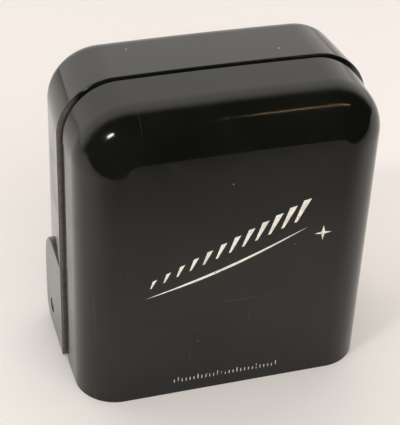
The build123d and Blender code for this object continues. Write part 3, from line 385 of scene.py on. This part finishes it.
# ---- Flat shapes -------------------------------------------------------------------------------------------
class Print:
    """Flat shapes on one plane, gathered into one mesh, in millimetres.

    right and up are the directions of local x and y. Local z stands out of the plane.
    """

    def __init__(self, name, origin, right, up, thickness, finish, body):
        self.name, self.body, self.finish, self.thickness = name, body, finish, thickness * MM
        normal = Vector(right).cross(Vector(up))
        turn = Matrix((Vector(right), Vector(up), normal)).transposed().to_4x4()
        self.frame = Matrix.Translation(origin) @ turn
        self.mesh = bmesh.new()

    def outline(self, points):
        """One closed outline, raised to the print's thickness."""
        low = [self.mesh.verts.new((x * MM, y * MM, 0)) for x, y in points]
        high = [self.mesh.verts.new((x * MM, y * MM, self.thickness)) for x, y in points]
        self.mesh.faces.new(high)
        for number in range(len(points)):
            after = (number + 1) % len(points)
            self.mesh.faces.new((low[number], low[after], high[after], high[number]))

    def bar(self, x, y, width, height, turn=0.0):
        c, s = cos(turn), sin(turn)
        corners = ((-width / 2, -height / 2), (width / 2, -height / 2), (width / 2, height / 2),
                   (-width / 2, height / 2))
        self.outline([(x + c * u - s * v, y + s * u + c * v) for u, v in corners])

    def tick(self, angle, inner, outer, width):
        """Radial bar, angle in degrees clockwise from upright."""
        a = radians(angle)
        middle = (inner + outer) / 2
        self.bar(middle * sin(a), middle * cos(a), width, outer - inner, -a)

    def arc(self, radius, width, start, end, parts=48):
        """Thin band round the origin, angles in degrees clockwise from upright."""
        for number in range(parts):
            a = radians(start + (end - start) * number / parts)
            b = radians(start + (end - start) * (number + 1) / parts)
            inner, outer = radius - width / 2, radius + width / 2
            corners = ((outer, a), (outer, b), (inner, b), (inner, a))
            self.outline([(r * sin(t), r * cos(t)) for r, t in corners])

    def text(self, figures, x, y, size, turn=0.0):
        """Figures centred on a point, turned anticlockwise in radians."""
        curve = bpy.data.curves.new("figures", "FONT")
        curve.body = figures
        curve.align_x, curve.align_y = "CENTER", "CENTER"
        curve.size = size * MM
        curve.extrude = self.thickness / 2
        curve.resolution_u = 3
        holder = bpy.data.objects.new("figures", curve)
        mesh = bpy.data.meshes.new_from_object(holder)
        middle = Matrix.Translation((x * MM, y * MM, self.thickness / 2))
        mesh.transform(middle @ Matrix.Rotation(turn, 4, "Z"))
        self.mesh.from_mesh(mesh)
        bpy.data.objects.remove(holder)
        bpy.data.curves.remove(curve)
        bpy.data.meshes.remove(mesh)

    def dial_text(self, figures, angle, radius, size):
        """Figures that stand on a circle round the origin, angle in degrees clockwise from upright."""
        a = radians(angle)
        self.text(figures, radius * sin(a), radius * cos(a), size, -a)

    def done(self):
        bmesh.ops.triangulate(self.mesh, faces=[face for face in self.mesh.faces if len(face.verts) > 4])
        bmesh.ops.recalc_face_normals(self.mesh, faces=self.mesh.faces)
        mesh = bpy.data.meshes.new(self.name)
        self.mesh.to_mesh(mesh)
        self.mesh.free()
        mesh.transform(self.frame)
        mesh.materials.append(self.finish)
        piece = bpy.data.objects.new(self.name, mesh)
        bpy.context.scene.collection.objects.link(piece)
        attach(piece, self.body)


# ---- Enamel in the cover's engraving -----------------------------------------------------------------------
# The same outlines are cut into the cover in the CAD.
ENGRAVE_DEPTH = 0.12
STROKES, STROKE_START, STROKE_STEP, STROKE_LEAN = 12, (-15.6, 26.6), (2.42, 0.93), 0.42
SWEEP, SWEEP_THICK, SWEEP_SAG = (-17.0, 24.3, 13.8, 35.6), 0.62, 1.1
SPARK = (16.6, 33.6, 1.7, 0.42)
RULE_START, RULE_STEP, RULE_TICKS = (-10.6, 2.6), 0.78, 27


def sweep_outline():
    x0, z0, x1, z1 = SWEEP
    upper, lower = [], []
    for number in range(1, 16):
        share = number / 16
        x = x0 + (x1 - x0) * share
        z = z0 + (z1 - z0) * share - SWEEP_SAG * sin(pi * share)
        half = SWEEP_THICK / 2 * sin(pi * share) ** 0.8
        upper.append((x, z + half))
        lower.append((x, z - half))
    return [(x0, z0)] + lower + [(x1, z1)] + upper[::-1]


def stroke_outline(number):
    x = STROKE_START[0] + number * STROKE_STEP[0]
    z = STROKE_START[1] + number * STROKE_STEP[1]
    rise = 1.7 + 0.27 * number
    lean = STROKE_LEAN * rise
    foot, head = 0.16 + 0.012 * number, 0.42 + 0.03 * number
    tip = x + lean
    return [(x - foot, z), (x + foot, z + 0.12), (tip + head, z + rise + 0.3), (tip - head, z + rise)]


def spark_outline():
    x, z, outer, inner = SPARK
    reach = (outer, inner) * 4
    return [(x + r * cos(pi / 4 * n), z + r * sin(pi / 4 * n)) for n, r in enumerate(reach)]


def fill_engraving():
    cut_floor = Vector((0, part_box("front_cover")[0].y + ENGRAVE_DEPTH * MM, 0))
    fill = Print("cover_flourish", cut_floor, (1, 0, 0), (0, 0, 1), ENGRAVE_DEPTH - 0.02, cream, "cover")
    for number in range(STROKES):
        fill.outline(stroke_outline(number))
    fill.outline(sweep_outline())
    fill.outline(spark_outline())
    fill.done()
    rule = Print("cover_rule", cut_floor, (1, 0, 0), (0, 0, 1), ENGRAVE_DEPTH - 0.03, faded, "cover")
    for number in range(RULE_TICKS):
        rise = 1.25 if number % 5 == 1 else 0.8
        rule.bar(RULE_START[0] + number * RULE_STEP, RULE_START[1] + rise / 2, 0.2, rise)
    rule.done()


# ---- Scale, dial and card ----------------------------------------------------------------------------------
PRINT_THICK = 0.02
REAR_RIGHT, REAR_UP = (-1, 0, 0), (0, 0, 1)        # as read from behind the case
SCALE_RADIUS, SCALE_INNER_RADIUS = 21.7, 19.0
DISC_RING, DISC_INNER_RING = 13.45, 10.55
CASE_RING = 14.6
DOUBLING_TIMES = ("1", "2", "4", "8", "15", "30", "60", "125", "250", "500")


def print_scale():
    """Light scale: an arc under the pointer's tip with figures that double."""
    pivot = joints["needle_pivot"]
    half_swing = pivot["range_deg"][1] / 2
    centre = Vector((0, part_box("scale_plate")[1].y, pivot["pos_m"][2]))
    black = Print("scale_marks", centre, REAR_RIGHT, REAR_UP, PRINT_THICK, black_print, "housing")
    black.arc(SCALE_RADIUS, 0.14, -half_swing - 1, half_swing + 1)
    black.arc(SCALE_INNER_RADIUS, 0.08, -half_swing - 1, half_swing + 1)
    figures = ("0", "1", "2", "4", "8", "15", "30", "60", "125")
    for number, figure in enumerate(figures):
        angle = -half_swing + 2 * half_swing * (number / (len(figures) - 1)) ** 0.92
        black.tick(angle, SCALE_RADIUS, SCALE_RADIUS + 1.6, 0.2)
        black.dial_text(figure, angle, SCALE_RADIUS + 2.8, 1.9)
    for number in range(43):
        length = 0.8 if number % 5 else 1.2
        black.tick(-half_swing + 2 * number, SCALE_RADIUS, SCALE_RADIUS + length, 0.08)
    for x in (-13.0, 13.0):
        black.outline([(x - 0.9, 13.2), (x + 0.9, 13.2), (x, 14.6)])
    black.done()
    red = Print("scale_red_band", centre, REAR_RIGHT, REAR_UP, PRINT_THICK, red_print, "housing")
    red.arc(20.3, 0.8, -half_swing, -20, 16)
    for number in range(5):
        red.tick(24 + 4 * number, 19.9, 20.7, 0.5)
    red.done()


def print_dial():
    """Two rings of figures on the turning disc, and fixed figures round it on the case."""
    axis_z = joints["dial_turn"]["pos_m"][2]
    centre = Vector((0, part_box("calculator_disc")[1].y, axis_z))
    ring = Print("dial_figures", centre, REAR_RIGHT, REAR_UP, PRINT_THICK, white_print, "dial")
    ring.arc(DISC_RING, 0.1, 0, 360, 96)
    ring.arc(DISC_INNER_RING, 0.1, 0, 360, 96)
    for number, figure in enumerate(("2", "2.8", "4", "5.6", "8", "11", "16", "22", "32", "45")):
        angle = -135 + 30 * number
        ring.tick(angle, DISC_RING - 0.7, DISC_RING, 0.2)
        ring.dial_text(figure, angle, 11.7, 1.75)
    for number in range(72):
        ring.tick(5 * number, DISC_RING - 0.45, DISC_RING, 0.1)
    for number, figure in enumerate(("6", "9", "12", "15", "18", "21", "24")):
        angle = -75 + 25 * number
        ring.dial_text(figure, angle, 8.9, 1.4)
        ring.tick(angle, DISC_INNER_RING - 0.65, DISC_INNER_RING, 0.16)
    ring.done()
    mark = Print("dial_red_mark", centre, REAR_RIGHT, REAR_UP, 0.025, red_print, "dial")
    mark.outline([(-0.9, -9.9), (0, -12.6), (0.9, -9.9)])
    mark.done()
    on_case = Vector((0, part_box("rear_shell")[1].y, axis_z))
    fixed = Print("case_figures", on_case, REAR_RIGHT, REAR_UP, PRINT_THICK, cream, "housing")
    for number, figure in enumerate(DOUBLING_TIMES):
        angle = 30 + 26 * number if number < 5 else 74 + 26 * number
        fixed.tick(angle, CASE_RING, CASE_RING + 0.7, 0.18)
        fixed.dial_text(figure, angle, CASE_RING + 1.75, 1.6)
    for angle in range(24, 340, 6):
        fixed.tick(angle, CASE_RING, CASE_RING + 0.35, 0.09)
    fixed.done()


CARD_COLUMNS = (-17.6, -9.6, -4.2, 1.2, 6.6, 12.0, 17.4)     # x of the ruled lines
CARD_ROWS, CARD_TOP, CARD_STEP = 10, 16.0, 3.5


def print_card():
    """Ruled table of figures, read when the cover hangs open."""
    low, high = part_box("exposure_card")
    centre = Vector((0, high.y, (low.z + high.z) / 2))
    table = Print("card_table", centre, (1, 0, 0), (0, 0, -1), PRINT_THICK, black_print, "cover")
    for x in CARD_COLUMNS:
        table.bar(x, CARD_TOP - CARD_ROWS * CARD_STEP / 2, 0.12, CARD_ROWS * CARD_STEP)
    for number in range(CARD_ROWS + 1):
        table.bar(0, CARD_TOP - number * CARD_STEP, 35.0, 0.22 if number in (0, 1, CARD_ROWS) else 0.1)
    column_middles = [(CARD_COLUMNS[n] + CARD_COLUMNS[n + 1]) / 2 for n in range(1, 6)]
    for number in range(CARD_ROWS - 1):
        y = CARD_TOP - (number + 1.5) * CARD_STEP
        table.text(str(2 ** (number % 5) * (1 if number < 5 else 32)), -13.6, y, 2.3)
        for column, x in enumerate(column_middles):
            table.text(DOUBLING_TIMES[(number + column) % 10], x, y, 1.9)
    for figure, x in zip(("2", "2.8", "4", "5.6", "8"), column_middles):
        table.text(figure, x, CARD_TOP - 0.5 * CARD_STEP, 2.0)
    table.done()
    edge = Print("card_border", centre, (1, 0, 0), (0, 0, -1), PRINT_THICK, red_print, "cover")
    for y in (-22.2, 22.2):
        edge.bar(0, y, 30.0, 0.3)
    edge.outline([(-15.2, 18.4), (-12.0, 18.4), (-13.6, 20.6)])
    for number in range(9):
        edge.bar(-4 + number * 2.4, 19.4, 0.35, 1.0 + 0.12 * number)
    edge.done()


fill_engraving()
print_scale()
print_dial()
print_card()


# ---- Stage and light ---------------------------------------------------------------------------------------
def sheet(name, corners, material):
    """Level four-sided sheet on the ground."""
    mesh = bmesh.new()
    mesh.faces.new([mesh.verts.new((x, y, 0)) for x, y in corners])
    data = bpy.data.meshes.new(name)
    mesh.to_mesh(data)
    mesh.free()
    data.materials.append(material)
    obj = bpy.data.objects.new(name, data)
    bpy.context.scene.collection.objects.link(obj)
    return obj


REACH, REAR_REACH = 2.5, 3
EDGE_LEFT, EDGE_RIGHT = 0.0005, -0.1845    # y at each side where the part of the floor that mirrors ends
ground = Paint("ground", (0.82, 0.785, 0.76), 0.9)
tone = ground.clouds(3, 5, 0.35, 0.65, (0.825, 0.79, 0.765), (0.81, 0.775, 0.75))
# Painted shade: in reflections only, the floor turns darker towards the front, away from the object.
painted_reflection_shade = ground.ramp(ground.axes()["Y"], -0.095, -0.03, 0.6, 0)
glossy_ray = ground.tree.nodes.new("ShaderNodeLightPath").outputs["Is Glossy Ray"]
ground.feed("Base Color", ground.mix(ground.math("MULTIPLY", painted_reflection_shade, glossy_ray), tone, (0.05, 0.05, 0.045)))
left, right = (-REACH, EDGE_LEFT), (REACH, EDGE_RIGHT)
sheet("floor_near", (left, right, (REACH, REAR_REACH), (-REACH, REAR_REACH)), ground.material)
front = sheet("floor_front", ((-REACH, -REACH), (REACH, -REACH), right, left), ground.material)
front.visible_glossy = False


def lamp(name, at, size, watts, color, along=(1, 0, 0)):
    """Rectangular lamp aimed at the object, its first side along a direction."""
    data = bpy.data.lights.new(name, "AREA")
    data.shape = "RECTANGLE"
    data.size, data.size_y = size
    data.energy = watts
    data.color = color
    back = Vector(at).normalized()
    side = (Vector(along) - back * back.dot(Vector(along))).normalized()
    obj = bpy.data.objects.new(name, data)
    turn = Matrix((side, back.cross(side), back)).transposed().to_4x4()
    obj.matrix_world = Matrix.Translation(at) @ turn
    bpy.context.scene.collection.objects.link(obj)
    return obj


for name, at, size, watts in (
        ("fill", (-0.15, -0.1, 1.5), (1.8, 1.8), 8.5),
        ("front_fill", (0.15, -1.3, 0.95), (2.2, 1.1), 17.0),
        ("left_fill", (-1.3, -0.2, 0.7), (1.2, 0.9), 3.5),
        ("right_fill", (1.3, -0.1, 0.7), (1.2, 0.9), 3.5)):
    lamp(name, at, size, watts, (1, 0.98, 0.96)).visible_glossy = False
lamp("spark", (-0.364, -0.218, 0.502), (0.12, 0.045), 0.7, (1, 0.99, 0.98))
lamp("streak", (0.36, -0.31, 0.58), (0.33, 0.006), 0.16, (1, 0.66, 0.36), (0.41, 0.15, -0.22))


def dome():
    """Pale tent above and behind the object, open and dark in front of it.

    The camera itself sees the pale side all round.
    """
    world = bpy.data.worlds.new("tent")
    world.use_nodes = True
    tree = world.node_tree
    background = tree.nodes["Background"]
    split = tree.nodes.new("ShaderNodeSeparateXYZ")
    tree.links.new(tree.nodes.new("ShaderNodeTexCoord").outputs["Generated"], split.inputs[0])

    fade = tree.nodes.new("ShaderNodeMapRange")
    fade.interpolation_type = "SMOOTHSTEP"
    fade.inputs["From Min"].default_value, fade.inputs["From Max"].default_value = 0.12, 0.5
    tree.links.new(split.outputs["Y"], fade.inputs["Value"])
    seen = tree.nodes.new("ShaderNodeMath")
    seen.operation = "MAXIMUM"
    tree.links.new(fade.outputs["Result"], seen.inputs[0])
    tree.links.new(tree.nodes.new("ShaderNodeLightPath").outputs["Is Camera Ray"], seen.inputs[1])
    color = tree.nodes.new("ShaderNodeMix")
    color.data_type = "RGBA"
    color.inputs[6].default_value = (0.03, 0.03, 0.028, 1)
    color.inputs[7].default_value = (1.0, 0.955, 0.905, 1)
    tree.links.new(seen.outputs[0], color.inputs[0])
    tree.links.new(color.outputs[2], background.inputs["Color"])
    background.inputs["Strength"].default_value = 1.2
    bpy.context.scene.world = world


dome()
bpy.context.scene.view_settings.view_transform = "Standard"
